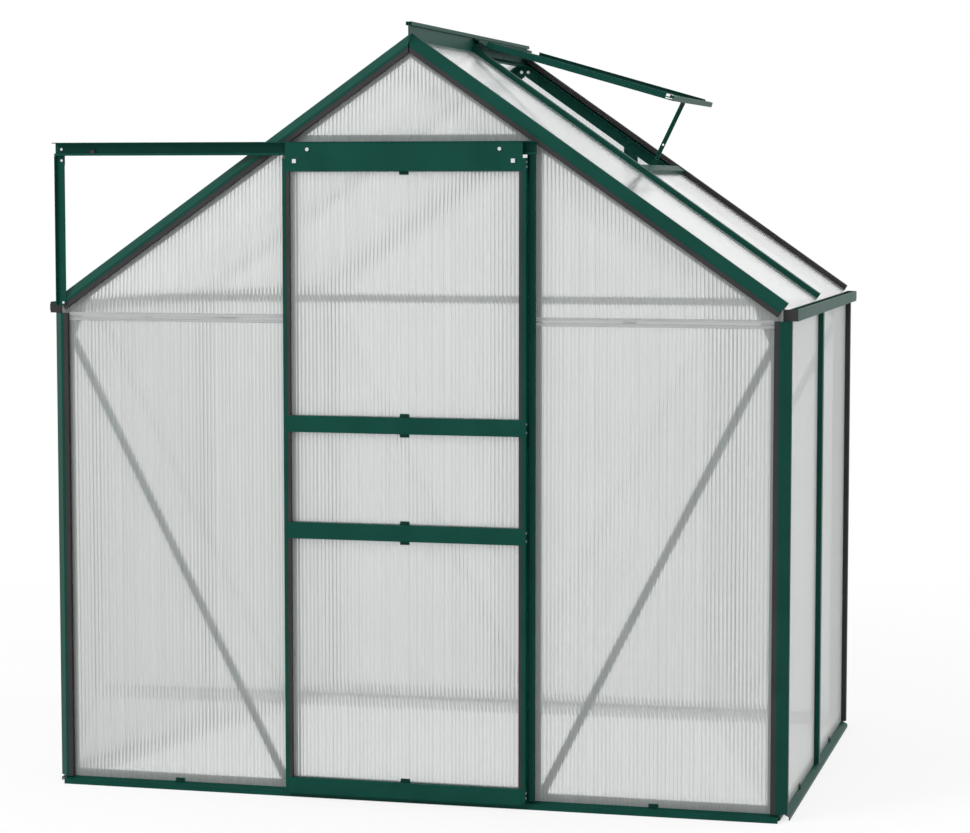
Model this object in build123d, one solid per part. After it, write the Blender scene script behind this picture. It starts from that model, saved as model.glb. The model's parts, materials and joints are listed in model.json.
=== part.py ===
from build123d import *
import math
import os

# A small aluminium greenhouse with twin-wall glazing, a sliding gable door and one roof vent.
# Millimetres, +Z up. The origin is the middle of the footprint, on the ground.
# The front gable faces -Y, the door slides towards -X and the vent is in the right slope (+X).

# Overall frame, measured to the outer faces of the corner profiles
frame_half_width = 950.0
frame_depth = 1266.0
eave_height = 1258.0
roof_pitch = 35.0

# Common profile sizes
metal = 2.0
rib_height = 13.0
panel_thickness = 4.0
fit_gap = 0.3
slot_gap = 0.5

# Corner profile, used for posts and rafters
chamfer = 22.0
corner_flange = 6.0
strip_width = 12.0
strip_wall = 1.6
strip_recess = 0.6
inner_reach = 10.0

# Glazing bars between panels
bar_width = 25.0
bar_neck = 4.0
bar_flange_width = 40.0
gable_bar_flange = 4.0

# Sills
sill_shelf_height = 18.0
sill_lip_height = 9.0
gable_sill_reach = 11.0
side_sill_reach = 4.0
sill_web_height = 37.0
sill_foot_width = 8.0
gable_sill_end_cut = 20.0
side_sill_end_cut = 30.0
guide_rise = 5.0

# Gutters
gutter_reach = 15.0
gutter_width = 36.0
gutter_height = 28.0
gutter_drop = 36.0
gutter_lip = 5.0
cap_thickness = 3.0
cap_corner = 6.0
rafter_cut = 12.7
panel_overrun = 9.0

# Ridge and its hinge groove
ridge_rise = 26.8
ridge_fin = 3.0
ridge_lip_width = 15.0
ridge_lip_thickness = 2.5
ridge_hook_drop = 6.5
ridge_seat = 30.0

# Doorway
door_post_inner = 306.0
door_post_face = 13.0
door_post_flange = 28.0
door_stop_reach = 10.0
header_drop = 24.9
header_height = 32.0
header_flange_rise = 18.0
header_groove = 13.0

# Door track
track_height = 33.0
track_flange = 26.0
track_lip = 11.0
track_rail_rise = 4.0
track_end_margin = 54.5
track_post_lap = 18.0

# Track strut
strut_inset = 31.0
strut_width = 24.0
strut_leg = 12.0
strut_lap_length = 14.0
strut_foot = 7.0
strut_tab = 24.0

# Door
door_width = 624.0
door_right_gap = 3.5
door_face = 25.0
door_stile_face = 9.0
door_stile_flange = 13.0
door_strip_width = 8.5
door_bottom = 12.0
door_rail_height = 41.0
door_rail_flange = 45.0
lower_rail_bottom = 663.0
upper_rail_bottom = 932.0
top_rail_drop = 73.0
top_rail_box = 32.0
hanging_plate_inset = 8.0
door_sill_clearance = 8.0

# Door wheels and guides
wheel_inset = 66.0
wheel_radius = 10.5
wheel_groove_radius = 8.0
wheel_thickness = 7.0
wheel_groove_width = 3.0
axle_radius = 2.5
axle_clearance = 0.05
axle_shoulder = 4.0
axle_nut_gap = 0.4
wheel_seat_gap = 0.1
hanger_inset = 32.0
hanger_drop = 47.8
stop_length = 12.0
stop_gap = 1.0
glide_length = 40.0
glide_gap = 0.6
glide_depth = 1.8

# Vent
vent_opening_angle = 19.0
vent_length = 569.0
vent_height = 14.0
vent_clearance = 0.5
vent_rail = 20.0
vent_side_rise = 11.0
vent_top_rail = 25.0
vent_bottom_rail = 22.0
vent_rear_inset = 14.0
hook_bead = 1.6
hook_neck = 1.4
hook_drop = 7.0
vent_lap = 2.0
vent_sill_width = 25.0

# Vent stay
stay_width = 12.0
stay_thickness = 3.0
stay_pin_radius = 2.5
stay_hole_pitch = 40.0
stay_hole_count = 3
stay_pivot_inset = 28.0
stay_pivot_drop = 7.0
stay_side_gap = 0.3
peg_reach = 24.0
peg_drop = 10.7

# Rear tie, front panel joints, braces and gusset plates
tie_drop = 19.0
tie_height = 22.0
joint_wall = 1.5
brace_width = 20.0
brace_foot_outset = 12.0
brace_head_drop = 50.0
brace_end = 14.0
gusset_drop = 70.0
gusset_run = 50.0
gusset_edge = 25.0
apex_gusset_run = 40.0

# Panel clips and fasteners
clip_width = 24.0
clip_height = 9.0
clip_foot = 6.0
clip_wall = 2.0
bolt_radius = 3.0
bolt_head_radius = 5.0
bolt_head_height = 3.0
bolt_nut_height = 4.0
bolt_clearance = 0.3
screw_radius = 2.0
screw_head_radius = 3.6
screw_head_height = 1.8
drill_margin = 1.0

# Depths behind the outer frame plane, one layer behind the other
panel_back = rib_height + panel_thickness
flange_back = panel_back + metal
plate_back = flange_back + metal
brace_back = plate_back + metal

# Distances along a corner profile's face, from its outer corner
flange_edge = chamfer + corner_flange
strip_edge = flange_edge + strip_width
inner_edge = strip_edge + inner_reach
panel_edge = flange_back + metal

# Where the frame planes lie
front_reach = door_face + bolt_head_height
rear_reach = gable_sill_reach
overall_depth = front_reach + frame_depth + rear_reach
y_front = front_reach - overall_depth / 2
y_rear = y_front + frame_depth
y_mid = (y_front + y_rear) / 2

slope = math.radians(roof_pitch)
slope_cos = math.cos(slope)
slope_sin = math.sin(slope)
apex_height = eave_height + frame_half_width * math.tan(slope)
ridge_top = apex_height + ridge_rise
gutter_bottom = eave_height - gutter_drop
rafter_length = frame_half_width / slope_cos - rafter_cut
tie_bottom = gutter_bottom - tie_drop
vent_sill_distance = vent_length - vent_lap
door_half = door_width / 2
door_centre = door_post_inner - door_right_gap - door_half
wheel_spacing = door_width - 2 * wheel_inset
hanger_spacing = door_width - 2 * hanger_inset
down_slope = (slope_cos, 0, -slope_sin)
roof_normal = (slope_sin, 0, slope_cos)
inwards_roof = (-slope_sin, 0, -slope_cos)
mid_plane = Plane(origin=(0, y_mid, 0), x_dir=(1, 0, 0), z_dir=(0, 1, 0))

pieces = {}
holes = {}


# Small helpers

def add(name, *solids):
    """Puts one or more solids in a named sub-part."""
    pieces.setdefault(name, []).extend(solids)


def rect(u0, u1, v0, v1):
    """A rectangle between two pairs of section coordinates."""
    return Pos((u0 + u1) / 2, (v0 + v1) / 2) * Rectangle(u1 - u0, v1 - v0)


def outline(*points):
    """A closed outline with straight sides."""
    return make_face(Polyline(*points, close=True))


def prism(section, origin, x_dir, y_dir, length):
    """A section drawn on two directions, drawn out along their cross product."""
    along = Vector(*x_dir).cross(Vector(*y_dir))
    plane = Plane(origin=origin, x_dir=x_dir, z_dir=along)
    return extrude(plane * section, amount=length).solid()


def keep_side(solid, point, normal):
    """The part of a solid on the side of a plane that the normal points to."""
    return split(solid, bisect_by=Plane(origin=point, z_dir=normal), keep=Keep.TOP).solid()


def left(solid):
    return mirror(solid, about=Plane.YZ)


def rear(solid):
    return mirror(solid, about=mid_plane)


def corners(name, solid):
    """Four sub-parts, one at each corner, from the front right one."""
    add("front_right_" + name, solid)
    add("front_left_" + name, left(solid))
    add("rear_right_" + name, rear(solid))
    add("rear_left_" + name, rear(left(solid)))


def four(solid):
    """The front right solid and its three mirrored copies."""
    return solid, left(solid), rear(solid), rear(left(solid))


def roof_point(s, o, y):
    """A point of the right slope, s down from the apex line and o out from the outer plane."""
    return Vector(s * slope_cos + o * slope_sin, y, apex_height - s * slope_sin + o * slope_cos)


def roof_height(x, o):
    """Height of the right slope's layer o at a distance x from the middle."""
    return apex_height - x * math.tan(slope) + o / slope_cos


def gable_plate(points, depth0, depth1):
    """A flat plate on the front gable, between two depths behind the frame plane."""
    plane = Plane(origin=(0, y_front + depth0, 0), x_dir=(1, 0, 0), z_dir=(0, -1, 0))
    return extrude(plane * outline(*points), amount=depth0 - depth1).solid()


def front_upright(section, x, bottom, top):
    """An upright on the front gable, from a section of (x, outwards)."""
    return prism(section, (x, y_front, top), (1, 0, 0), (0, -1, 0), top - bottom)


def front_beam(section, x0, x1):
    """A beam along the front gable, from a section of (outwards, height)."""
    return prism(section, (x1, y_front, 0), (0, -1, 0), (0, 0, 1), x1 - x0)


def side_beam(section, y0, y1):
    """A beam along the right wall, from a section of (outwards, height)."""
    return prism(section, (frame_half_width, y1, 0), (1, 0, 0), (0, 0, 1), y1 - y0)


def roof_bar(section, y, s0, s1):
    """A bar down the right slope, from a section of (along Y, outwards)."""
    return prism(section, roof_point(s0, 0, y), (0, 1, 0), roof_normal, s1 - s0)


def roof_plate(s0, s1, y0, y1, o0, o1):
    """A flat sheet lying in the right slope."""
    return prism(rect(s0, s1, o0, o1), roof_point(0, 0, y1), down_slope, roof_normal, y1 - y0)


def rod(start, axis, length, radius):
    """A round bar from a point along an axis."""
    plane = Plane(origin=start, z_dir=axis)
    return extrude(plane * Circle(radius), amount=length).solid()


def hexagon(start, axis, length, radius):
    """A six-sided bar of that corner radius. Nuts, heads and the small fasteners' shanks are drawn with it."""
    plane = Plane(origin=start, z_dir=axis)
    return extrude(plane * RegularPolygon(radius, 6), amount=length).solid()


def drill(names, start, axis, length, radius):
    """Notes a hole that a round bar passes, in the named sub-parts, past both ends of the bolt."""
    entry = Vector(*start) - Vector(*axis) * drill_margin
    corner_radius = radius / math.cos(math.pi / 6)
    for name in names:
        holes.setdefault(name, []).append(hexagon(entry, axis, length + 2 * drill_margin, corner_radius))


# Profile sections

def corner_section():
    """The chamfered corner profile: an outer skin, a diagonal web and an inner angle for two panels."""
    turn = metal * (math.sqrt(2) - 1)
    skin = outline((flange_edge, 0), (chamfer, 0), (0, chamfer), (0, flange_edge), (metal, flange_edge),
                   (metal, chamfer + turn), (chamfer + turn, metal), (flange_edge, metal))
    angle = outline((panel_back, panel_back), (inner_edge, panel_back), (inner_edge, flange_back),
                    (flange_back, flange_back), (flange_back, inner_edge), (panel_back, inner_edge))
    half = metal / 2
    near = chamfer / 2
    far = panel_back + half
    web = outline((near + half, near - half), (far + half, far - half),
                  (far - half, far + half), (near - half, near + half))
    return skin + angle + (web - outline((0, 0), (chamfer, 0), (0, chamfer)))


def strip_section():
    """The glazing strip beside a corner profile, as (along the face, depth)."""
    front = rect(flange_edge, strip_edge, strip_recess, strip_recess + strip_wall)
    flank = rect(strip_edge - strip_wall, strip_edge, strip_recess, rib_height)
    foot = rect(chamfer, strip_edge, rib_height - strip_wall, rib_height)
    return front + flank + foot


def bar_section(width=bar_width, flange_width=bar_flange_width, flange=metal):
    """A glazing bar as (across, outwards): a hollow rib outside, a neck between panels, a flange inside."""
    rib = rect(-width / 2, width / 2, -rib_height, 0)
    bore = rect(-width / 2 + metal, width / 2 - metal, -rib_height + metal, -metal)
    neck = rect(-bar_neck / 2, bar_neck / 2, -panel_back, -rib_height)
    inner = rect(-flange_width / 2, flange_width / 2, -panel_back - flange, -panel_back)
    return (rib - bore) + neck + inner


def sill_section(reach):
    """A sill as (outwards, height): foot, web, shelf for the panels, weathered slope and lip."""
    web = rect(-plate_back, -flange_back, 0, sill_web_height)
    foot = rect(-plate_back - sill_foot_width, -flange_back, 0, metal)
    shelf = rect(-plate_back, -rib_height, sill_shelf_height - metal, sill_shelf_height)
    weathering = outline((-rib_height, sill_shelf_height), (reach, sill_lip_height),
                         (reach, sill_lip_height - metal), (-rib_height, sill_shelf_height - metal))
    lip = rect(reach - metal, reach, 0, sill_lip_height - metal / 2)
    return web + foot + shelf + weathering + lip


# Sills

sill_half_length = frame_half_width - gable_sill_end_cut
guide_top = sill_lip_height + guide_rise
sill_guide = rect(gable_sill_reach - metal, gable_sill_reach, sill_lip_height - metal, guide_top)
gable_sill = front_beam(sill_section(gable_sill_reach) + sill_guide, -sill_half_length, sill_half_length)
side_sill = side_beam(sill_section(side_sill_reach), y_front + side_sill_end_cut, y_rear - side_sill_end_cut)
add("front_sill", gable_sill)
add("rear_sill", rear(gable_sill))
add("right_sill", side_sill)
add("left_sill", left(side_sill))

# Corner posts stand on the sill shelves and carry the gutters
post_length = gutter_bottom - sill_shelf_height
post_top = (frame_half_width, y_front, gutter_bottom)
corners("post", prism(corner_section(), post_top, (-1, 0, 0), (0, 1, 0), post_length))

# Rafters: the same profile along the gable edges, mitred against the ridge fin
mitre_x = ridge_fin / 2 + fit_gap
rafter_start = -inner_edge * math.tan(slope)
rafter_origin = roof_point(rafter_start, 0, y_front)
rafter_blank_length = rafter_length - rafter_start
rafter_blank = prism(corner_section(), rafter_origin, inwards_roof, (0, 1, 0), rafter_blank_length)
corners("rafter", keep_side(rafter_blank, (mitre_x, 0, 0), (1, 0, 0)))

# Glazing strips on both faces of every post and rafter
gable_strip = prism(strip_section(), post_top, (-1, 0, 0), (0, 1, 0), post_length)
swapped_strip = mirror(strip_section(), about=Plane(origin=(0, 0, 0), z_dir=(1, -1, 0)))
side_strip = prism(swapped_strip, post_top, (-1, 0, 0), (0, 1, 0), post_length)
add("wall_glazing_strips", *four(gable_strip), *four(side_strip))
gable_rafter_strip = prism(strip_section(), rafter_origin, inwards_roof, (0, 1, 0), rafter_blank_length)
gable_rafter_strip = keep_side(gable_rafter_strip, (mitre_x, 0, 0), (1, 0, 0))
gable_rafter_strip = keep_side(gable_rafter_strip, (0, 0, gutter_bottom + fit_gap), (0, 0, 1))
roof_rafter_strip = prism(swapped_strip, rafter_origin, inwards_roof, (0, 1, 0), rafter_blank_length)
roof_rafter_strip = keep_side(roof_rafter_strip, (mitre_x, 0, 0), (1, 0, 0))
add("rafter_glazing_strips", *four(gable_rafter_strip), *four(roof_rafter_strip))

# Ridge: a fin with a lip at the top whose edges turn down, and two sloping seats for the bars
fin_bottom = apex_height - plate_back / slope_cos
lip_half = ridge_lip_width / 2
lip_bottom = ridge_top - ridge_lip_thickness
hook_edge = lip_bottom - ridge_hook_drop
ridge_face = (rect(-ridge_fin / 2, ridge_fin / 2, fin_bottom, ridge_top)
              + rect(-lip_half, lip_half, lip_bottom, ridge_top)
              + rect(-lip_half, -lip_half + metal, hook_edge, ridge_top)
              + rect(lip_half - metal, lip_half, hook_edge, ridge_top))
ridge_fin_solid = prism(ridge_face, (0, y_rear, 0), (1, 0, 0), (0, 0, 1), frame_depth)
seat_inset = plate_back + slot_gap
seat = roof_plate(-plate_back * math.tan(slope), ridge_seat, y_front + seat_inset, y_rear - seat_inset,
                  -plate_back, -flange_back)
seat = keep_side(seat, (0, 0, 0), (1, 0, 0))
add("ridge_bar", (ridge_fin_solid + seat + left(seat)).solid())

# Gutters along both eaves, with an end cap at each end
gutter_inner = gutter_reach - gutter_width
gutter_top = gutter_bottom + gutter_height
inner_wall_top = roof_height(frame_half_width + gutter_inner + metal, -flange_back) - fit_gap
gutter_face = (rect(gutter_inner, gutter_reach, gutter_bottom, gutter_bottom + metal)
               + rect(gutter_reach - metal, gutter_reach, gutter_bottom, gutter_top)
               + rect(gutter_reach - gutter_lip, gutter_reach, gutter_top - metal, gutter_top)
               + rect(gutter_inner, gutter_inner + metal, gutter_bottom, inner_wall_top))
gutter = side_beam(gutter_face, y_front + panel_edge, y_rear - panel_edge)
add("right_gutter", gutter)
add("left_gutter", left(gutter))
cap_face = outline((gutter_inner, gutter_bottom), (gutter_reach - cap_corner, gutter_bottom),
                   (gutter_reach, gutter_bottom + cap_corner), (gutter_reach, gutter_top - cap_corner),
                   (gutter_reach - cap_corner, gutter_top), (gutter_inner, gutter_top))
cap = side_beam(cap_face, y_front + panel_edge - cap_thickness, y_front + panel_edge)
add("gutter_end_caps", *four(cap))

# Glazing bars in the middle of the side walls and slopes
side_bar = prism(bar_section(), (frame_half_width, y_mid, gutter_bottom), (0, 1, 0), (1, 0, 0), post_length)
add("wall_bars", side_bar, left(side_bar))
middle_bar = roof_bar(bar_section(), y_mid, 0, rafter_length)
middle_bar = keep_side(middle_bar, (mitre_x, 0, 0), (1, 0, 0))
add("roof_bars", middle_bar, left(middle_bar))

# Doorway posts: a narrow rib, and behind it a flange that the brace is bolted to and that stops the door's gap
door_rib_end = door_post_inner + door_post_face
door_flange_end = door_post_inner + door_post_flange
door_rib = rect(door_post_inner, door_rib_end, -rib_height, 0)
door_bore = rect(door_post_inner + metal, door_rib_end - metal, -rib_height + metal, -metal)
door_web = rect(door_post_inner, door_post_inner + metal, -panel_back, -rib_height)
door_flange = rect(door_post_inner - door_stop_reach, door_flange_end, -flange_back, -panel_back)
door_pad = rect(door_post_inner, door_flange_end, -plate_back, -flange_back)
under_rafter = roof_point(0, -inner_edge - fit_gap, 0)
header_bottom = roof_height(door_post_inner, -inner_edge) - header_drop
door_section = (door_rib - door_bore) + door_web + door_flange
door_post = front_upright(door_section, 0, sill_shelf_height, header_bottom)
door_post += front_upright(door_pad, 0, sill_web_height + slot_gap, header_bottom)
door_post = keep_side(door_post.solid(), under_rafter, inwards_roof)
add("right_door_post", door_post)
add("left_door_post", left(door_post))

# Header over the doorway, between the rafters
header_top = header_bottom + header_height
header_neck = header_bottom + header_groove
header_rib = (rect(-rib_height, 0, header_bottom, header_top)
              - rect(-rib_height + metal, -metal, header_bottom + metal, header_top - metal)
              + rect(-panel_back, -rib_height, header_neck, header_neck + bar_neck))
header_flange = rect(-flange_back, -panel_back, header_bottom, header_top + header_flange_rise)
header = front_beam(header_rib, -door_rib_end, door_rib_end)
header += front_beam(header_flange, -door_flange_end, door_flange_end)
header = keep_side(header.solid(), under_rafter, inwards_roof)
header = left(keep_side(left(header), under_rafter, inwards_roof))
add("door_header", header)

# Bars in the rear gable
rear_bar_x = door_post_inner + bar_width / 4
rear_bar_section = bar_section(flange=gable_bar_flange)
rear_bar = front_upright(rear_bar_section, rear_bar_x, sill_web_height + slot_gap, apex_height)
rear_bar = keep_side(rear_bar, under_rafter, inwards_roof)
add("rear_gable_bars", rear(rear_bar), rear(left(rear_bar)))

# Door track and the strut that carries its free end
track_bottom = header_bottom
track_top = track_bottom + track_height
track_rail_top = track_bottom + metal + track_rail_rise
track_face = (rect(0, metal, track_bottom, track_top)
              + rect(0, track_flange, track_top - metal, track_top)
              + rect(0, track_lip, track_bottom, track_bottom + metal)
              + rect(track_lip - metal, track_lip, track_bottom, track_rail_top))
strut_screw_x = strut_inset - frame_half_width
strut_right_edge = strut_screw_x + strut_lap_length / 2
strut_left_edge = strut_right_edge - strut_width
track_right_end = door_post_inner + track_post_lap
door_travel = door_centre - door_half - strut_left_edge - track_end_margin
add("door_track", front_beam(track_face, strut_left_edge, track_right_end))

strut_foot_z = roof_height(-strut_screw_x, -(chamfer + flange_edge) / 2)
strut_bottom = strut_foot_z - strut_foot
strut_plate = rect(strut_left_edge, strut_right_edge, 0, metal)
strut_flank = rect(strut_left_edge, strut_left_edge + metal, 0, strut_leg)
strut_lap = rect(strut_left_edge, strut_right_edge, -metal, 0)
strut = front_upright(strut_plate + strut_flank, 0, strut_bottom, track_bottom - fit_gap)
strut += front_upright(strut_lap, 0, track_bottom - strut_tab, track_top - metal)
add("door_track_strut", strut.solid())

# Ties, braces and gusset plates behind the panels

def brace(x0, z0, x1, z1, depth0, depth1):
    """A flat bar between two bolt centres on the front gable, with its ends past them."""
    run = Vector(x1 - x0, 0, z1 - z0).normalized()
    across_run = Vector(-run.Z, 0, run.X) * (brace_width / 2)
    start = Vector(x0, 0, z0) - run * brace_end
    end = Vector(x1, 0, z1) + run * brace_end
    ring = [start + across_run, end + across_run, end - across_run, start - across_run]
    return gable_plate([(p.X, p.Z) for p in ring], depth0, depth1)


tie_top = tie_bottom + tie_height
tie_outer = frame_half_width - inner_edge + metal
tie = gable_plate([(-tie_outer, tie_bottom), (tie_outer, tie_bottom), (tie_outer, tie_top),
                   (-tie_outer, tie_top)], plate_back, brace_back)
add("rear_eave_tie", rear(tie))

gusset_outer_x = frame_half_width - gusset_edge
gusset_inner_x = frame_half_width - inner_edge + metal
gusset_bottom = gutter_bottom - gusset_drop
gusset_far_x = gusset_inner_x - gusset_run
gusset_far_z = roof_height(gusset_far_x, -inner_edge + metal)
gusset_depth = inner_edge - metal - gusset_edge
gusset_points = [(gusset_outer_x, gusset_bottom), (gusset_inner_x, gusset_bottom),
                 (gusset_far_x, gusset_far_z),
                 (gusset_far_x + gusset_depth * slope_sin, gusset_far_z + gusset_depth * slope_cos),
                 (gusset_outer_x, roof_height(gusset_outer_x, -gusset_edge))]
gusset = gable_plate(gusset_points, flange_back, plate_back)
add("gusset_plates", *four(gusset))

apex_gusset_top = fin_bottom - slot_gap
apex_low_z = roof_height(apex_gusset_run, -inner_edge + metal)
apex_inner_z = roof_height(0, -inner_edge + metal)
apex_points = [(0, apex_gusset_top), (apex_gusset_run, apex_gusset_top - apex_gusset_run * math.tan(slope)),
               (apex_gusset_run, apex_low_z), (0, apex_inner_z), (-apex_gusset_run, apex_low_z),
               (-apex_gusset_run, apex_gusset_top - apex_gusset_run * math.tan(slope))]
apex_gusset = gable_plate(apex_points, flange_back, plate_back)
add("gusset_plates", apex_gusset, rear(apex_gusset))

brace_head_x = frame_half_width - strip_edge
brace_head_z = gutter_bottom - brace_head_drop
upright_bolt_x = door_post_inner + door_post_flange / 2
brace_foot_x = upright_bolt_x + brace_foot_outset
sill_bolt_z = (sill_shelf_height + sill_web_height) / 2
gable_brace = brace(brace_head_x, brace_head_z, brace_foot_x, sill_bolt_z, plate_back, brace_back)
add("gable_braces", *four(gable_brace))

# Wall panels. Each front side has a lower and an upper one, and a clear strip joins them.
panel_bottom = sill_shelf_height
post_panel_x = frame_half_width - panel_edge
door_panel_x = door_post_inner + metal + slot_gap
header_panel_x = door_rib_end + slot_gap
joint_z = (tie_bottom + tie_top) / 2
joint_split = bar_neck / 2 + slot_gap
lower_points = [(post_panel_x, panel_bottom), (door_panel_x, panel_bottom),
                (door_panel_x, joint_z - joint_split), (post_panel_x, joint_z - joint_split)]
upper_points = [(post_panel_x, joint_z + joint_split), (door_panel_x, joint_z + joint_split),
                (door_panel_x, header_bottom - slot_gap), (header_panel_x, header_bottom - slot_gap),
                (header_panel_x, roof_height(header_panel_x, -panel_edge)),
                (post_panel_x, roof_height(post_panel_x, -panel_edge))]
for points in (lower_points, upper_points):
    front_panel = gable_plate(points, rib_height, panel_back)
    add("front_side_panels", front_panel, left(front_panel))

joint_front = (rect(-rib_height, joint_wall - rib_height, tie_bottom, tie_top)
               + rect(-panel_back, -rib_height, joint_z - bar_neck / 2, joint_z + bar_neck / 2))
joint_back = rect(-panel_back - joint_wall, -panel_back, tie_bottom, tie_top)
joint = front_beam(joint_front, header_panel_x, frame_half_width - strip_edge - slot_gap)
joint += front_beam(joint_back, door_flange_end + slot_gap, frame_half_width - inner_edge - slot_gap)
add("panel_joint_strips", joint.solid(), left(joint.solid()))

top_panel_z = header_neck + bar_neck
top_panel_shoulder = roof_height(door_rib_end, -panel_edge)
top_panel_peak = roof_height(0, -panel_edge)
top_points = [(-door_rib_end, top_panel_z), (door_rib_end, top_panel_z),
              (door_rib_end, top_panel_shoulder), (0, top_panel_peak),
              (-door_rib_end, top_panel_shoulder)]
add("front_top_panel", gable_plate(top_points, rib_height, panel_back))

rear_split = bar_neck / 2 + slot_gap
rear_outer_x = rear_bar_x + rear_split
rear_inner_x = rear_bar_x - rear_split
rear_side_points = [(post_panel_x, panel_bottom), (rear_outer_x, panel_bottom),
                    (rear_outer_x, roof_height(rear_outer_x, -panel_edge)),
                    (post_panel_x, roof_height(post_panel_x, -panel_edge))]
rear_panel = gable_plate(rear_side_points, rib_height, panel_back)
add("rear_panels", rear(rear_panel), rear(left(rear_panel)))
rear_centre_points = [(-rear_inner_x, panel_bottom), (rear_inner_x, panel_bottom),
                      (rear_inner_x, roof_height(rear_inner_x, -panel_edge)), (0, top_panel_peak),
                      (-rear_inner_x, roof_height(rear_inner_x, -panel_edge))]
add("rear_panels", rear(gable_plate(rear_centre_points, rib_height, panel_back)))

bay_front = y_front + panel_edge
bay_end = y_mid - bar_neck / 2 - slot_gap
wall_panel_face = rect(-panel_back, -rib_height, panel_bottom, gutter_bottom - fit_gap)
wall_panel = side_beam(wall_panel_face, bay_front, bay_end)
add("right_wall_panels", wall_panel, rear(wall_panel))
add("left_wall_panels", left(wall_panel), rear(left(wall_panel)))

# Roof panels. The right rear one stops at the vent sill.
panel_top_s = (mitre_x + panel_back * slope_sin) / slope_cos
panel_end_s = rafter_length + panel_overrun
roof_panel = roof_plate(panel_top_s, panel_end_s, bay_front, bay_end, -panel_back, -rib_height)
add("left_roof_panels", left(roof_panel), rear(left(roof_panel)))
add("right_roof_panels", roof_panel)
short_top_s = vent_sill_distance + bar_neck / 2 + slot_gap
short_panel = roof_plate(short_top_s, panel_end_s, bay_front, bay_end, -panel_back, -rib_height)
add("right_roof_panels", rear(short_panel))

# Vent sill across the right rear bay
sill_rib_y0 = y_mid + bar_width / 2 + fit_gap
sill_rib_y1 = y_rear - strip_edge - fit_gap
sill_flange_y0 = y_mid + bar_flange_width / 2 + fit_gap
sill_flange_y1 = y_rear - inner_edge - fit_gap
half_sill = vent_sill_width / 2
sill_rib = (rect(-half_sill, half_sill, -rib_height, -metal)
            - rect(-half_sill + metal, half_sill - metal, -rib_height + metal, -metal - metal))
sill_inner = (rect(-bar_neck / 2, bar_neck / 2, -panel_back, -rib_height)
              + rect(-half_sill, bar_flange_width / 2, -flange_back, -panel_back))
vent_sill = prism(sill_rib, roof_point(vent_sill_distance, 0, sill_rib_y1), down_slope, roof_normal,
                  sill_rib_y1 - sill_rib_y0)
vent_sill += prism(sill_inner, roof_point(vent_sill_distance, 0, sill_flange_y1), down_slope, roof_normal,
                   sill_flange_y1 - sill_flange_y0)
add("vent_sill", vent_sill.solid())

# Vent, drawn closed about its hinge line and then opened
hinge_x = (ridge_fin / 2 + lip_half - metal) / 2
hinge_z = lip_bottom - hook_bead - slot_gap - fit_gap
hinge_axis = Axis((hinge_x, 0, hinge_z), (0, 1, 0))
vent_front = y_mid
vent_rear = y_rear - vent_rear_inset
vent_middle = (vent_front + vent_rear) / 2
hinge_to_roof = (hinge_z - roof_height(hinge_x, 0)) * slope_cos
vent_bottom = vent_clearance - hinge_to_roof
vent_top = vent_bottom + vent_height
vent_panel_bottom = vent_bottom + metal
vent_panel_top = vent_panel_bottom + panel_thickness


def vent_point(s, o, y):
    """A point of the closed vent, s down from the hinge line and o out from it."""
    return Vector(hinge_x + s * slope_cos + o * slope_sin, y, hinge_z - s * slope_sin + o * slope_cos)


def vent_beam(section, y0, y1):
    """A vent rail along the ridge, from a section of (down the slope, outwards)."""
    return prism(section, vent_point(0, 0, y1), down_slope, roof_normal, y1 - y0)


def opened(solid):
    """Swings a closed vent piece to the angle at which the vent stands open."""
    return solid.rotate(hinge_axis, -vent_opening_angle)


def opened_point(point):
    """Where a point of the closed vent lies when the vent stands open."""
    turn = math.radians(vent_opening_angle)
    dx = point.X - hinge_x
    dz = point.Z - hinge_z
    return Vector(hinge_x + dx * math.cos(turn) - dz * math.sin(turn), point.Y,
                  hinge_z + dx * math.sin(turn) + dz * math.cos(turn))


neck_angle = math.radians(vent_opening_angle / 2)
neck_dx = -hook_drop * math.sin(neck_angle)
neck_dz = -hook_drop * math.cos(neck_angle)
neck_s = neck_dx * slope_cos - neck_dz * slope_sin
neck_o = neck_dx * slope_sin + neck_dz * slope_cos
neck_run = Vector(neck_s, neck_o).normalized()
neck_side = Vector(-neck_run.Y, neck_run.X) * (hook_neck / 2)
top_rail_s = neck_s + vent_top_rail / 2
top_rail_end = top_rail_s + vent_top_rail
hook_face = (Circle(hook_bead)
             + outline((neck_side.X, neck_side.Y), (neck_s + neck_side.X, neck_o + neck_side.Y),
                       (neck_s - neck_side.X, neck_o - neck_side.Y), (-neck_side.X, -neck_side.Y))
             + rect(neck_s, top_rail_s + metal, neck_o - metal / 2, neck_o + metal / 2)
             + rect(top_rail_s, top_rail_s + metal, vent_bottom, neck_o + metal / 2)
             + rect(top_rail_s, top_rail_end, vent_panel_top, vent_panel_top + metal)
             + rect(top_rail_s, top_rail_end, vent_bottom, vent_panel_bottom))
add("vent_top_rail", opened(vent_beam(hook_face, vent_front, vent_rear)))

bottom_rail_s = vent_length - vent_bottom_rail
bottom_face = (rect(bottom_rail_s, vent_length, vent_bottom, vent_top)
               - rect(bottom_rail_s, vent_length - metal, vent_panel_bottom, vent_panel_top)
               - rect(bottom_rail_s, bottom_rail_s + vent_bottom_rail / 2, vent_panel_top + metal, vent_top))
add("vent_bottom_rail", opened(vent_beam(bottom_face, vent_front, vent_rear)))

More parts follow.
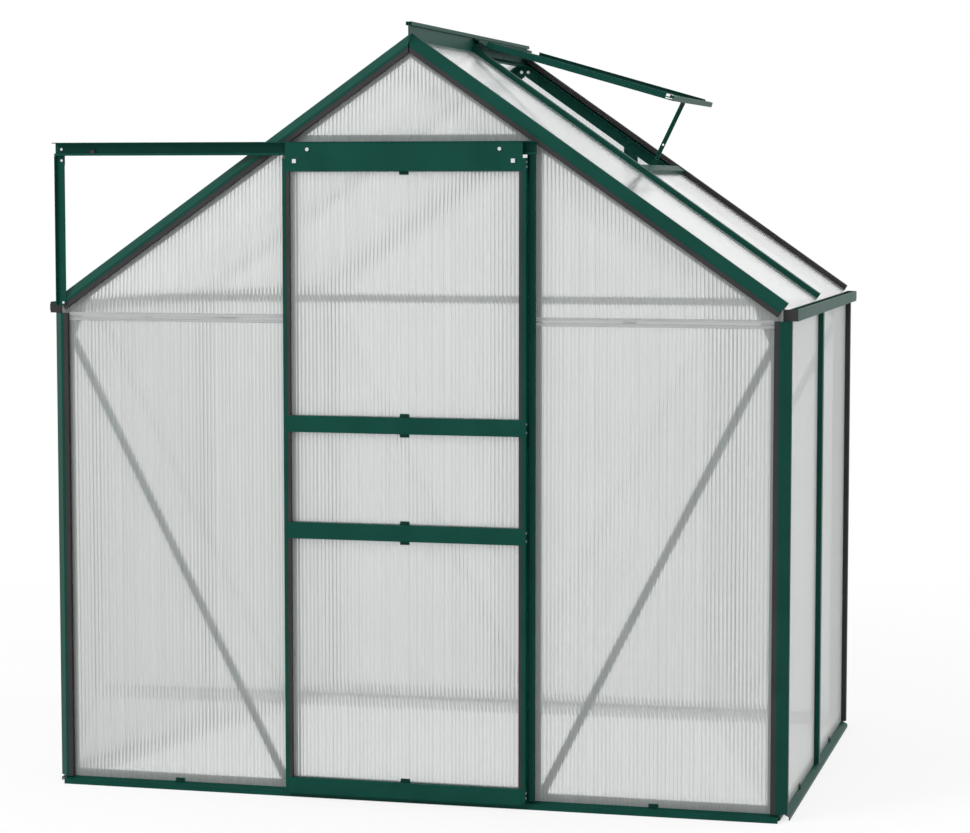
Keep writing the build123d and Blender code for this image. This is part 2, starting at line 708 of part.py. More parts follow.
side_top = vent_panel_top + vent_side_rise
side_face = (rect(0, metal, vent_bottom, side_top)
             + rect(0, vent_rail / 2, vent_bottom, vent_panel_bottom)
             + rect(0, vent_rail, vent_panel_top, vent_panel_top + metal)
             + rect(0, vent_rail / 2, side_top - metal, side_top))
vent_side_length = bottom_rail_s - top_rail_end
vent_side_origin = vent_point(top_rail_end, 0, vent_front)
vent_side = prism(side_face, vent_side_origin, (0, 1, 0), roof_normal, vent_side_length)
vent_mirror = Plane(origin=(0, vent_middle, 0), x_dir=(1, 0, 0), z_dir=(0, 1, 0))
add("vent_side_rails", opened(vent_side), opened(mirror(vent_side, about=vent_mirror)))

vent_panel_edge = metal + slot_gap
vent_panel_face = rect(top_rail_s + vent_panel_edge, vent_length - vent_panel_edge, vent_panel_bottom,
                       vent_panel_top)
vent_panel = vent_beam(vent_panel_face, vent_front + vent_panel_edge, vent_rear - vent_panel_edge)
add("vent_panel", opened(vent_panel))

# Vent stay: a bracket under the bottom rail, a swinging arm with holes and a peg on the vent sill
stay_pivot_s = vent_length - stay_pivot_inset
stay_pivot_o = vent_bottom - stay_pivot_drop
bracket_gap = stay_thickness + 2 * stay_side_gap
bracket_width = bracket_gap + 2 * metal
bracket_face = (rect(stay_pivot_s - stay_width / 2, stay_pivot_s + stay_width / 2, stay_pivot_o, vent_bottom)
                + Pos(stay_pivot_s, stay_pivot_o) * Circle(stay_width / 2))
bracket = vent_beam(bracket_face, vent_middle - bracket_width / 2, vent_middle + bracket_width / 2)
slot_face = rect(stay_pivot_s - stay_width, stay_pivot_s + stay_width, stay_pivot_o - stay_width,
                 vent_bottom - metal / 2)
bracket_slot = vent_beam(slot_face, vent_middle - bracket_gap / 2, vent_middle + bracket_gap / 2)
pin_start = vent_point(stay_pivot_s, stay_pivot_o, vent_middle - bracket_width / 2)
pivot_pin = rod(pin_start, (0, 1, 0), bracket_width, stay_pin_radius)
add("vent_stay_bracket", opened(((bracket - bracket_slot) + pivot_pin).solid()))

# The peg stands on the vent sill's flange, just beside the arm's last hole
peg_s = vent_sill_distance - peg_reach
peg_o = -flange_back - peg_drop
peg_y1 = vent_middle - stay_thickness / 2 - stay_side_gap
peg_y0 = peg_y1 - clip_width
peg_block_s = vent_sill_distance + bar_flange_width / 2
peg_face = (rect(peg_s - stay_width / 2, peg_block_s, peg_o - metal, -flange_back)
            + Pos(peg_s, peg_o) * Circle(stay_width / 2))
add("vent_stay_peg", prism(peg_face, roof_point(0, 0, peg_y1), down_slope, roof_normal, peg_y1 - peg_y0))

# The arm reaches from the opened vent's bracket to the peg
arm_start = opened_point(vent_point(stay_pivot_s, stay_pivot_o, vent_middle + stay_thickness / 2))
arm_end = roof_point(peg_s, peg_o, arm_start.Y)
stay_length = (arm_end - arm_start).length
arm_run = (arm_end - arm_start).normalized()
arm_face = Pos(stay_length / 2, 0) * SlotCenterToCenter(stay_length, stay_width)
arm_face -= Circle(stay_pin_radius + axle_clearance)
stay_hole = RegularPolygon((stay_pin_radius + bolt_clearance) / math.cos(math.pi / 6), 6)
for index in range(stay_hole_count):
    arm_face -= Pos(stay_length - index * stay_hole_pitch, 0) * stay_hole
add("vent_stay_arm", prism(arm_face, arm_start, (arm_run.X, 0, arm_run.Z), (-arm_run.Z, 0, arm_run.X),
                           stay_thickness))

# Door. Its sections are drawn in the closed position.
door_back = door_face - rib_height - panel_thickness - metal
door_panel_back = door_back + metal
door_panel_front = door_panel_back + panel_thickness
top_rail_bottom = track_top - top_rail_drop
top_box_top = top_rail_bottom + top_rail_box
stile_bottom = door_bottom + door_sill_clearance
stile_section = (rect(door_half - metal, door_half, door_back, door_face)
                 + rect(door_half - door_stile_face, door_half, door_face - metal, door_face)
                 + rect(door_half - door_stile_flange, door_half, door_back, door_panel_back))
stile = front_upright(stile_section, 0, stile_bottom, top_box_top)
door_place = Pos(door_centre, 0, 0)
add("door_stiles", door_place * stile, door_place * left(stile))

face_half = door_half - door_stile_face - fit_gap
tenon_half = door_half - metal - fit_gap
flange_half = door_half - door_stile_flange - fit_gap


def door_rail(z0, z1, flange_z0, flange_z1, neck_z):
    """A hollow rail whose ends run inside the stiles, with a neck and flange behind the panels."""
    box = (rect(door_panel_front, door_face, z0, z1)
           - rect(door_panel_front + metal, door_face - metal, z0 + metal, z1 - metal))
    tenon = (rect(door_panel_front, door_face - metal - fit_gap, z0, z1)
             - rect(door_panel_front + metal, door_face - metal - fit_gap - metal, z0 + metal, z1 - metal))
    neck = rect(door_panel_back, door_panel_front, neck_z - bar_neck / 2, neck_z + bar_neck / 2)
    flange = rect(door_back, door_panel_back, flange_z0, flange_z1)
    rail = front_beam(box, -face_half, face_half)
    rail += front_beam(tenon, -tenon_half, -face_half)
    rail += front_beam(tenon, face_half, tenon_half)
    rail += front_beam(neck + flange, -flange_half, flange_half)
    return rail.solid()


rail_spread = (door_rail_flange - door_rail_height) / 2
lower_rail_top = lower_rail_bottom + door_rail_height
upper_rail_top = upper_rail_bottom + door_rail_height
bottom_rail_top = door_bottom + door_rail_height
lower_neck = (lower_rail_bottom + lower_rail_top) / 2
upper_neck = (upper_rail_bottom + upper_rail_top) / 2
bottom_neck = stile_bottom + bar_neck
top_neck = top_box_top - bar_neck
door_bottom_rail = door_rail(door_bottom, bottom_rail_top, stile_bottom, bottom_rail_top + rail_spread,
                             bottom_neck)
door_lower_rail = door_rail(lower_rail_bottom, lower_rail_top, lower_rail_bottom - rail_spread,
                            lower_rail_top + rail_spread, lower_neck)
door_upper_rail = door_rail(upper_rail_bottom, upper_rail_top, upper_rail_bottom - rail_spread,
                            upper_rail_top + rail_spread, upper_neck)
door_top_rail = door_rail(top_rail_bottom, top_box_top, top_rail_bottom - rail_spread, top_box_top, top_neck)
plate_half = door_half - hanging_plate_inset
plate_top = track_top - metal - slot_gap
hanging_plate = front_beam(rect(door_face - metal, door_face, top_box_top + fit_gap, plate_top),
                           -plate_half, plate_half)
plate_root = front_beam(rect(door_face - metal, door_face, top_box_top - metal, top_box_top + metal),
                        -face_half, face_half)
door_top_rail = (door_top_rail + plate_root + hanging_plate).solid()
add("door_bottom_rail", door_place * door_bottom_rail)
add("door_middle_rails", door_place * door_lower_rail, door_place * door_upper_rail)
add("door_top_rail", door_place * door_top_rail)

# Door panels and the glazing strips along the stiles
door_panel_half = door_half - metal - slot_gap
panel_levels = [(bottom_neck, lower_neck), (lower_neck, upper_neck), (upper_neck, top_neck)]
for low, high in panel_levels:
    low_edge = low + bar_neck / 2 + slot_gap
    high_edge = high - bar_neck / 2 - slot_gap
    door_panel = front_beam(rect(door_panel_back, door_panel_front, low_edge, high_edge),
                            -door_panel_half, door_panel_half)
    add("door_panels", door_place * door_panel)
strip_outer = door_half - door_stile_face
strip_inner = strip_outer - door_strip_width
strip_front = door_face - strip_recess
strip_foot = door_panel_front + strip_wall
door_strip = (rect(strip_inner, strip_outer, strip_front - strip_wall, strip_front)
              + rect(strip_inner, strip_inner + strip_wall, door_panel_front, strip_front)
              + rect(strip_inner, door_half - metal - fit_gap, door_panel_front, strip_foot))
strip_levels = [(bottom_rail_top, lower_rail_bottom), (lower_rail_top, upper_rail_bottom),
                (upper_rail_top, top_rail_bottom)]
for low, high in strip_levels:
    strip = front_upright(door_strip, 0, low + fit_gap, high - fit_gap)
    add("door_glazing_strips", door_place * strip, door_place * left(strip))

# Door wheels on shoulder bolts, running on the track's rail
axle_z = track_rail_top + wheel_groove_radius + wheel_seat_gap
wheel_o = track_lip - metal / 2
half_wheel = wheel_thickness / 2
half_groove = wheel_groove_width / 2
wheel_profile = outline((axle_radius + axle_clearance, -half_wheel), (wheel_radius, -half_wheel),
                        (wheel_radius, -half_groove), (wheel_groove_radius, -half_groove),
                        (wheel_groove_radius, half_groove), (wheel_radius, half_groove),
                        (wheel_radius, half_wheel), (axle_radius + axle_clearance, half_wheel))
for name, side in (("door_left_wheel", -1), ("door_right_wheel", 1)):
    centre = Vector(door_centre + side * wheel_spacing / 2, y_front - wheel_o, axle_z)
    wheel_plane = Plane(origin=centre, x_dir=(1, 0, 0), z_dir=(0, 0, 1))
    add(name, revolve(wheel_plane * wheel_profile, axis=Axis(centre, (0, 1, 0))).solid())
    face = Vector(centre.X, y_front - door_face, axle_z)
    wheel_front = wheel_o + half_wheel + axle_nut_gap
    wheel_rear = wheel_o - half_wheel - axle_nut_gap
    axle = hexagon(face, (0, -1, 0), bolt_head_height, bolt_head_radius)
    axle += rod(face, (0, 1, 0), door_face - wheel_rear, axle_radius)
    axle += hexagon(face + Vector(0, metal, 0), (0, 1, 0), door_face - metal - wheel_front, axle_shoulder)
    nut_face = Vector(centre.X, y_front - wheel_rear, axle_z)
    axle += hexagon(nut_face, (0, 1, 0), wheel_rear - metal - screw_head_height - fit_gap, axle_shoulder)
    add("door_wheel_axles", axle.solid())
    drill(["door_top_rail"], face, (0, 1, 0), metal, axle_radius + bolt_clearance)

# Stops in the track, at both ends of the wheels' travel
stop_face = rect(metal, track_lip - metal - fit_gap, track_bottom + metal, axle_z)
wheel_reach = wheel_spacing / 2 + wheel_radius + stop_gap
left_stop = door_centre - wheel_reach - door_travel
right_stop = door_centre + wheel_reach
add("door_stops", front_beam(stop_face, left_stop - stop_length, left_stop))
add("door_stops", front_beam(stop_face, right_stop, right_stop + stop_length))

# Nylon glides under the door, straddling the guide on the front sill
glide_tongue = gable_sill_reach - metal - glide_gap
glide_face = (rect(door_back, door_panel_front, guide_top + glide_gap, stile_bottom)
              + rect(door_back, glide_tongue, guide_top - glide_depth, stile_bottom))
for side in (-1, 1):
    glide_x = door_centre + side * wheel_spacing / 2
    add("door_glides", front_beam(glide_face, glide_x - glide_length / 2, glide_x + glide_length / 2))

# Panel clips on the sills and on the door rails
clip_face = outline((0, 0), (clip_foot, 0), (clip_foot, clip_wall), (clip_wall, clip_wall),
                    (clip_wall, clip_height), (0, clip_height))
sill_clip_face = Pos(-rib_height, sill_shelf_height) * clip_face
sill_clip_x = (post_panel_x + door_panel_x) / 2
sill_clip = front_beam(sill_clip_face, sill_clip_x - clip_width / 2, sill_clip_x + clip_width / 2)
side_clip_y = (bay_front + bay_end) / 2
side_clip = side_beam(sill_clip_face, side_clip_y - clip_width / 2, side_clip_y + clip_width / 2)
add("panel_clips", *four(sill_clip), *four(side_clip))
clip_levels = [(bottom_rail_top, 1), (lower_rail_bottom, -1), (lower_rail_top, 1), (upper_rail_bottom, -1),
               (upper_rail_top, 1), (top_rail_bottom, -1)]
for level, direction in clip_levels:
    face = clip_face if direction > 0 else mirror(clip_face, about=Plane.XZ)
    door_clip = front_beam(Pos(door_panel_front, level) * face, -clip_width / 2, clip_width / 2)
    add("door_panel_clips", door_place * door_clip)

# Screws through the stiles into the rail ends, and hanger bolts on the top rail
screw_levels = [(door_bottom, bottom_rail_top), (lower_rail_bottom, lower_rail_top),
                (upper_rail_bottom, upper_rail_top), (top_rail_bottom, top_box_top)]
screw_inset = door_rail_height / 4
screw_o = (door_panel_front + door_face - metal) / 2
for low, high in screw_levels:
    for screw_z in (max(low, stile_bottom) + screw_inset, high - screw_inset):
        for side in (-1, 1):
            head_point = Vector(door_centre + side * door_half, y_front - screw_o, screw_z)
            screw = hexagon(head_point, (side, 0, 0), screw_head_height, screw_head_radius)
            screw += hexagon(head_point, (-side, 0, 0), metal, screw_radius)
            add("door_fasteners", screw.solid())
            drill(["door_stiles"], head_point, (-side, 0, 0), metal, screw_radius + bolt_clearance / 2)
hanger_z = track_top - hanger_drop
for side in (-1, 1):
    head_point = Vector(door_centre + side * hanger_spacing / 2, y_front - door_face, hanger_z)
    head_plane = Plane(origin=head_point, x_dir=(1, 0, 0), z_dir=(0, -1, 0))
    head_square = Rectangle(2 * bolt_head_radius, 2 * bolt_head_radius)
    hanger = extrude(head_plane * head_square, amount=bolt_head_height).solid()
    hanger += hexagon(head_point, (0, 1, 0), metal, bolt_radius)
    add("door_fasteners", hanger.solid())
    drill(["door_top_rail"], head_point, (0, 1, 0), metal, bolt_radius + bolt_clearance)

# Frame bolts. Their heads sit in the profiles, so a shank and a nut show on the inside.

def clamp(names, start, axis, grip):
    """A shank and nut through the named sub-parts, from a point along an axis."""
    start = Vector(*start)
    axis = Vector(*axis)
    shank = hexagon(start, axis, grip, bolt_radius)
    nut = hexagon(start + axis * grip, axis, bolt_nut_height, bolt_head_radius)
    add("frame_bolts", (shank + nut).solid())
    drill(names, start, axis, grip, bolt_radius + bolt_clearance)


def gable_bolts(end, names, x, z, depth0, depth1):
    """A pair of bolts, left and right, through the plates of one gable."""
    for side_name, side in (("left", -1), ("right", 1)):
        y = y_front + depth0 if end == "front" else y_rear - depth0
        axis = (0, 1, 0) if end == "front" else (0, -1, 0)
        held = [name.replace("SIDE", side_name) for name in names]
        clamp(held, (side * x, y, z), axis, depth1 - depth0)


def wall_bolts(end, names, y_inset, z):
    """A pair of bolts, left and right, through the plates of the side walls."""
    for side_name, side in (("left", -1), ("right", 1)):
        y = y_front + y_inset if end == "front" else y_rear - y_inset
        start = (side * (frame_half_width - panel_back), y, z)
        held = [name.replace("SIDE", side_name) for name in names]
        clamp(held, start, (-side, 0, 0), plate_back - panel_back)


post_bolt = (panel_back + inner_edge) / 2 + metal
post_bolt_x = frame_half_width - post_bolt
tie_bolt_x = tie_outer - tie_height / 2
upper_post_bolt_z = gutter_bottom - gusset_drop / 4
rafter_bolt_o = -(flange_back + inner_edge) / 2
rafter_bolts_x = [gusset_far_x + gusset_run / 4, gusset_far_x + gusset_run * 2 / 3]
apex_bolts_x = [apex_gusset_run / 4]
for end in ("front", "rear"):
    post_name = end + "_SIDE_post"
    rafter_name = end + "_SIDE_rafter"
    head_names = [post_name, "gusset_plates", "gable_braces"]
    gable_bolts(end, head_names, brace_head_x, brace_head_z, panel_back, brace_back)
    gable_bolts(end, [post_name, "gusset_plates"], post_bolt_x, upper_post_bolt_z, panel_back, plate_back)
    gable_bolts(end, [end + "_sill", "gable_braces"], brace_foot_x, sill_bolt_z, flange_back, brace_back)
    gable_bolts(end, [post_name, end + "_sill"], post_bolt_x, sill_bolt_z, panel_back, plate_back)
    for x in rafter_bolts_x + apex_bolts_x:
        z = roof_height(x, rafter_bolt_o)
        gable_bolts(end, [rafter_name, "gusset_plates"], x, z, panel_back, plate_back)
    wall_bolts(end, [post_name, "SIDE_sill"], post_bolt, sill_bolt_z)
gable_bolts("rear", ["gusset_plates", "rear_eave_tie"], tie_bolt_x, joint_z, flange_back, brace_back)
gable_bolts("rear", ["rear_gable_bars", "rear_eave_tie"], upright_bolt_x, joint_z, panel_back, brace_back)

# Low-headed screws hold the track and its strut
track_screw_z = (track_bottom + track_top) / 2
header_screw_spacing = wheel_spacing / 3
track_screws = []
for x in (-header_screw_spacing, 0, header_screw_spacing):
    track_screws.append((x, track_screw_z, ["door_track", "door_header"]))
track_screws.append((strut_screw_x, track_screw_z, ["door_track", "door_track_strut"]))
track_screws.append((strut_screw_x, track_bottom - strut_tab / 2, ["door_track_strut"]))
track_screws.append((strut_screw_x, strut_foot_z, ["door_track_strut", "front_left_rafter"]))
for x, z, names in track_screws:
    face = Vector(x, y_front - metal, z)
    screw = hexagon(face, (0, -1, 0), screw_head_height, screw_head_radius)
    screw += hexagon(face, (0, 1, 0), 2 * metal, screw_radius)
    add("frame_bolts", screw.solid())
    drill(names, face, (0, 1, 0), 2 * metal, screw_radius + bolt_clearance / 2)


# Write one file for each sub-part

def with_holes(name, solid):
    """A solid with the noted holes of its sub-part that reach it."""
    for cutter in holes.get(name, []):
        solid = (solid - cutter).solid()
    return solid


os.makedirs("parts", exist_ok=True)
for name, solids in pieces.items():
    finished = [with_holes(name, solid) for solid in solids]
    shape = finished[0] if len(finished) == 1 else Compound(children=finished)
    shape.label = name
    export_step(shape, os.path.join("parts", name + ".step"))
print(len(pieces), "sub-parts")
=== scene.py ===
import bpy
import bmesh
import json
import math
from collections import namedtuple
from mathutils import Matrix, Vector


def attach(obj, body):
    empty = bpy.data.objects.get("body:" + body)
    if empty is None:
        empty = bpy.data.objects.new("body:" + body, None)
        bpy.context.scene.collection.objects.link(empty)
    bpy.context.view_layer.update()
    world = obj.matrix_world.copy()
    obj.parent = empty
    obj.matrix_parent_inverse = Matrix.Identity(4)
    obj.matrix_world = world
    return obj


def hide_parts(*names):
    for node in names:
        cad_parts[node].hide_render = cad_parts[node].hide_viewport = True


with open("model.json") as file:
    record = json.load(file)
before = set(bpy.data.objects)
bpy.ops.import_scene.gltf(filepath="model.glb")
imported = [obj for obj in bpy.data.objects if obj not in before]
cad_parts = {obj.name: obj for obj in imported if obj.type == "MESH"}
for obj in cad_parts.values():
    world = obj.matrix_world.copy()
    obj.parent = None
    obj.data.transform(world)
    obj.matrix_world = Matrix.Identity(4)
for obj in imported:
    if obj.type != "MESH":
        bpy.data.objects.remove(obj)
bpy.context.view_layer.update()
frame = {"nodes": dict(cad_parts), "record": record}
nodes = frame["nodes"]
scene = bpy.context.scene
scene.view_settings.view_transform = "Standard"

# The flutes of the twin-wall sheets, in metres, and the steps that model one flute
FLUTE_PITCH = 0.010
FLUTE_DEPTH = 0.0003
FLUTE_STEPS = 6

# The sheets' milk: its colours between the ribs and on a rib, and its surface
MILK_LIGHT = (0.97, 0.975, 0.97)
MILK_DARK = (0.5, 0.505, 0.5)
# The side walls' milk is darker than the same sheet on the gables and roof: painted shade
WALL_MILK_PAINTED_SHADE = (0.67, 0.675, 0.67)
WALL_RIB_PAINTED_SHADE = (0.45, 0.455, 0.45)
MILK_ROUGHNESS = 0.25
MILK_SPECULAR = 0.3
BACK_LIGHT_SHARE = 0.5

# The ribs: where their dark line starts and ends, and how it differs from rib to rib
RIB_LINE = (0.4, 1.0)
RIB_NOISE_SCALE = 70.0
RIB_STRENGTH = (0.35, 1.5)

# The clear share of a sheet between the ribs, what is left of it on a rib, and that of the back
GABLE_CLEAR = 0.55
WALL_CLEAR = 0.16
ROOF_CLEAR = 0.35
RIB_CLEAR = 0.62
BACK_CLEAR = (0.97, 0.91)
BACK_HAZE_SCALE = 6.0
CLEAR_TINT = (0.97, 0.98, 0.98, 1.0)

# How strongly a gable's flutes bend sight sideways
SHEET_IOR = 1.35
FRONT_LENS, REAR_LENS = 0.0085, 0.004

# How much of the surround an outer skin mirrors at a flat angle
WALL_SHINE, ROOF_SHINE = 0.05, 1.25
SHINE_IOR = 1.45
SHINE_ROUGHNESS = 0.08

# The coats: the values between which noise mostly lies, the patches, the gloss and the grain
NOISE_LOW, NOISE_HIGH = 0.3, 0.7
PATCH_SCALE, PATCH_DETAIL = 9.0, 5.0
ROUGHNESS_SPREAD = 0.06
GRAIN_HEIGHT = 0.0004
GREEN = (0.003, 0.046, 0.033), (0.0045, 0.057, 0.042)
GREEN_ROUGHNESS = 0.42
GREEN_SPECULAR = 0.07

# The painted light on the sills, a pale colour low on their inner faces that stands in for the
# light from the floor there: its colours, the heights where it ends, and how far inwards a face
# looks
SILL_PAINTED_LIGHT = (0.5, 0.5, 0.48), (0.66, 0.66, 0.64)
SILL_PAINTED_LIGHT_SCALE = 60.0
PAINTED_LIGHT_FULL_BELOW, PAINTED_LIGHT_NONE_ABOVE = 0.027, 0.031
PAINTED_LIGHT_FACING = -0.3

# The clear joint strips
STRIP_COLOURS = (0.42, 0.43, 0.43), (0.56, 0.57, 0.57)
STRIP_LINES = (2.0, 300.0, 300.0)
STRIP_ALPHA = (0.34, 0.54)
STRIP_ROUGHNESS = 0.2

# The panels by node: the body each rides on, and its kind of sheet
PANEL_NODES = {
    "front_side_panels": ("frame", "front"),
    "front_top_panel": ("frame", "front"),
    "rear_panels": ("frame", "rear"),
    "right_wall_panels": ("frame", "wall"),
    "left_wall_panels": ("frame", "wall"),
    "left_roof_panels": ("frame", "roof"),
    "right_roof_panels": ("frame", "roof"),
    "door_panels": ("door", "front"),
    "vent_panel": ("vent", "roof"),
}
SILL_NODES = ("front_sill", "rear_sill", "right_sill", "left_sill")

# A point inside the greenhouse, which the sheets' outer faces look away from
INSIDE = Vector((0, 0, 0.9))

# Lengths that tell the points of a sheet's outline apart, in metres, and the digits kept of them
SAME_POINT = 1e-5
BESIDE = 1e-5
LEAST_STEP = 1e-4
LEAST_RUN = 1e-6
ON_EDGE = 1e-9
POINT_DIGITS = 6
SORT_DIGITS = 4

# How near to the sheet's normal an outer face looks, as a cosine, and the angle of a sharp edge
OUTER_FACING = 0.9
SHARP_ANGLE = math.radians(40)

# The floor: how white it is to the eye near the greenhouse and inside its footprint
FLOOR_HALF = 60
FLOOR_Z = -0.0005
FLOOR_COLOURS = (0.82, 0.82, 0.82), (0.84, 0.84, 0.84)
FLOOR_NOISE_SCALE = 2.0
NEAR_WHITE, NEAR_REACH, FAR_REACH = 0.78, 1.6, 4.0
INDOOR_WHITE, INDOOR_EDGE = 0.6, 0.98
FOOTPRINT_HALF = (0.94, 0.63, 1.0)
WHITE = (1, 1, 1, 1)

# The light and the camera
SOFT_LIGHT = 0.85
LAMP_SIZE = 3.0
KEY_PLACE, KEY_TARGET, KEY_WATTS = (-3.2, -4.2, 5.2), (0, 0, 0.9), 210.0
SIDE_PLACE, SIDE_TARGET, SIDE_WATTS = (5.0, 1.5, 3.6), (0.3, 0, 0.9), 75.0
CAMERA_PLACE = (1.85114, -7.20473, 1.54994)
CAMERA_DOWN, CAMERA_TURN = 4.8119, 14.1395
CAMERA_LENS, CAMERA_SENSOR = 102.239, 36.0


# Node helpers

def new_material(name):
    """An empty node material with its output, as (material, tree, output)."""
    material = bpy.data.materials.new(name)
    material.use_nodes = True
    tree = material.node_tree
    tree.nodes.clear()
    return material, tree, tree.nodes.new("ShaderNodeOutputMaterial")


def put(tree, kind, links=None, **settings):
    """A node with its properties set and its inputs linked or given values."""
    item = tree.nodes.new(kind)
    for key, value in settings.items():
        setattr(item, key, value)
    for key, value in (links or {}).items():
        if isinstance(value, bpy.types.NodeSocket):
            tree.links.new(value, item.inputs[key])
        else:
            item.inputs[key].default_value = value
    return item


def object_place(tree):
    """A point's place in its object, which is also its place in the frame at rest."""
    return put(tree, "ShaderNodeTexCoord").outputs["Object"]


def ramp(tree, value, first, second, low=NOISE_LOW, high=NOISE_HIGH):
    """A colour that goes from the first to the second as a value goes from low to high."""
    item = put(tree, "ShaderNodeValToRGB", {"Fac": value})
    item.color_ramp.elements[0].position = low
    item.color_ramp.elements[0].color = (*first, 1.0)
    item.color_ramp.elements[1].position = high
    item.color_ramp.elements[1].color = (*second, 1.0)
    return item.outputs["Color"]


def noise(tree, coordinates, scale, detail=3.0):
    """Smooth noise at a scale given per metre."""
    item = put(tree, "ShaderNodeTexNoise",
               {"Vector": coordinates, "Scale": scale, "Detail": detail})
    return item.outputs["Fac"]


def value_range(tree, value, low, high, start=0.0, end=1.0):
    """A value that goes from low to high as another goes from start to end."""
    item = put(tree, "ShaderNodeMapRange", {
        "Value": value,
        "From Min": start,
        "From Max": end,
        "To Min": low,
        "To Max": high,
    })
    return item.outputs["Result"]


def calc(tree, operation, first, second=None, **settings):
    """The result of one step of arithmetic on sockets or numbers."""
    values = {0: first} if second is None else {0: first, 1: second}
    item = put(tree, "ShaderNodeMath", values, operation=operation, **settings)
    return item.outputs["Value"]


def mixed(tree, share, first, second):
    """The first shader with a share of the second in it."""
    item = put(tree, "ShaderNodeMixShader", {"Fac": share, 1: first, 2: second})
    return item.outputs["Shader"]


def uneven_roughness(tree, patches, roughness):
    """A roughness that differs a little from patch to patch."""
    return value_range(tree, patches, roughness - ROUGHNESS_SPREAD, roughness + ROUGHNESS_SPREAD)


# Materials of the CAD nodes

def coated(name, colours, roughness, bump, grain, specular=0.5, metallic=0.0):
    """A coat with patchy colour, an uneven gloss and a fine surface grain."""
    material, tree, output = new_material(name)
    place = object_place(tree)
    patches = noise(tree, place, PATCH_SCALE, PATCH_DETAIL)
    fine = noise(tree, place, grain, detail=2.0)
    surface = put(tree, "ShaderNodeBump",
                  {"Height": fine, "Strength": bump, "Distance": GRAIN_HEIGHT})
    shader = put(tree, "ShaderNodeBsdfPrincipled", {
        "Base Color": ramp(tree, patches, *colours),
        "Roughness": uneven_roughness(tree, patches, roughness),
        "Metallic": metallic,
        "Specular IOR Level": specular,
        "Normal": surface.outputs["Normal"],
    })
    tree.links.new(shader.outputs["BSDF"], output.inputs["Surface"])
    return material


def with_painted_light(name):
    """The green coat with painted light: a pale colour low on the faces that look inwards, for the
    light from the floor there.
    """
    material, tree, output = new_material(name)
    place = object_place(tree)
    patches = noise(tree, place, PATCH_SCALE, PATCH_DETAIL)
    coat = ramp(tree, patches, *GREEN)
    # Painted light: a pale colour low on the inward faces, for the light from the floor there
    painted_light = ramp(tree, noise(tree, place, SILL_PAINTED_LIGHT_SCALE, detail=4.0), *SILL_PAINTED_LIGHT)
    height = put(tree, "ShaderNodeSeparateXYZ", {"Vector": place}).outputs["Z"]
    low = value_range(tree, height, 0.0, 1.0, PAINTED_LIGHT_NONE_ABOVE, PAINTED_LIGHT_FULL_BELOW)
    facing = put(tree, "ShaderNodeNewGeometry").outputs["True Normal"]
    outward = put(tree, "ShaderNodeVectorMath", {0: facing, 1: place}, operation="DOT_PRODUCT")
    inward = calc(tree, "LESS_THAN", outward.outputs["Value"], PAINTED_LIGHT_FACING)
    share = calc(tree, "MULTIPLY", low, inward)
    colour = put(tree, "ShaderNodeMix", {"Factor": share, 6: coat, 7: painted_light}, data_type="RGBA")
    shader = put(tree, "ShaderNodeBsdfPrincipled", {
        "Base Color": colour.outputs[2],
        "Roughness": uneven_roughness(tree, patches, GREEN_ROUGHNESS),
        "Specular IOR Level": GREEN_SPECULAR,
    })
    tree.links.new(shader.outputs["BSDF"], output.inputs["Surface"])
    return material


def clear_strip(name):
    """The plain clear plastic that joins two sheets, with faint lengthwise drawing lines."""
    material, tree, output = new_material(name)
    drawn = put(tree, "ShaderNodeMapping", {"Vector": object_place(tree), "Scale": STRIP_LINES})
    lines = noise(tree, drawn.outputs["Vector"], scale=1.0, detail=2.0)
    shader = put(tree, "ShaderNodeBsdfPrincipled", {
        "Base Color": ramp(tree, lines, *STRIP_COLOURS),
        "Roughness": STRIP_ROUGHNESS,
        "Alpha": value_range(tree, lines, *STRIP_ALPHA),
    })
    tree.links.new(shader.outputs["BSDF"], output.inputs["Surface"])
    return material


def finish_node(node, material):
    """Gives a CAD node its material."""
    slots = nodes[node].data.materials
    slots.clear()
    slots.append(material)


slot_looks = {
    "frame": coated("green_powder_coat", GREEN, roughness=GREEN_ROUGHNESS, bump=0.25,
                    grain=1400.0, specular=GREEN_SPECULAR),
    "clips": coated("green_moulding", ((0.0025, 0.034, 0.025), (0.004, 0.043, 0.032)),
                    roughness=0.5, bump=0.15, grain=600.0, specular=0.1),
    "gasket": coated("black_rubber", ((0.024, 0.023, 0.024), (0.034, 0.032, 0.034)),
                     roughness=0.6, bump=0.3, grain=900.0, specular=0.2),
    "black_plastic": coated("black_moulding", ((0.014, 0.014, 0.015), (0.022, 0.022, 0.023)),
                            roughness=0.48, bump=0.2, grain=700.0, specular=0.3),
    "fasteners": coated("zinc_plate", ((0.62, 0.63, 0.64), (0.78, 0.79, 0.8)),
                        roughness=0.3, bump=0.1, grain=1200.0, metallic=1.0),
}
for entry in frame["record"]["subparts"]:
    if entry["material_slot"] in slot_looks:
        finish_node(entry["node"], slot_looks[entry["material_slot"]])
finish_node("panel_joint_strips", clear_strip("clear_joint_strip"))
# The sills' coat has painted light, a pale colour low on their inner faces
sill_coat_painted_light = with_painted_light("green_sill_coat_painted_light")
for sill_node in SILL_NODES:
    finish_node(sill_node, sill_coat_painted_light)


# Materials of the twin-wall sheets

def milk_shader(tree, colour):
    """The milky part of a sheet."""
    item = put(tree, "ShaderNodeBsdfPrincipled", {
        "Base Color": colour,
        "Roughness": MILK_ROUGHNESS,
        "Specular IOR Level": MILK_SPECULAR,
    })
    return item.outputs["BSDF"]


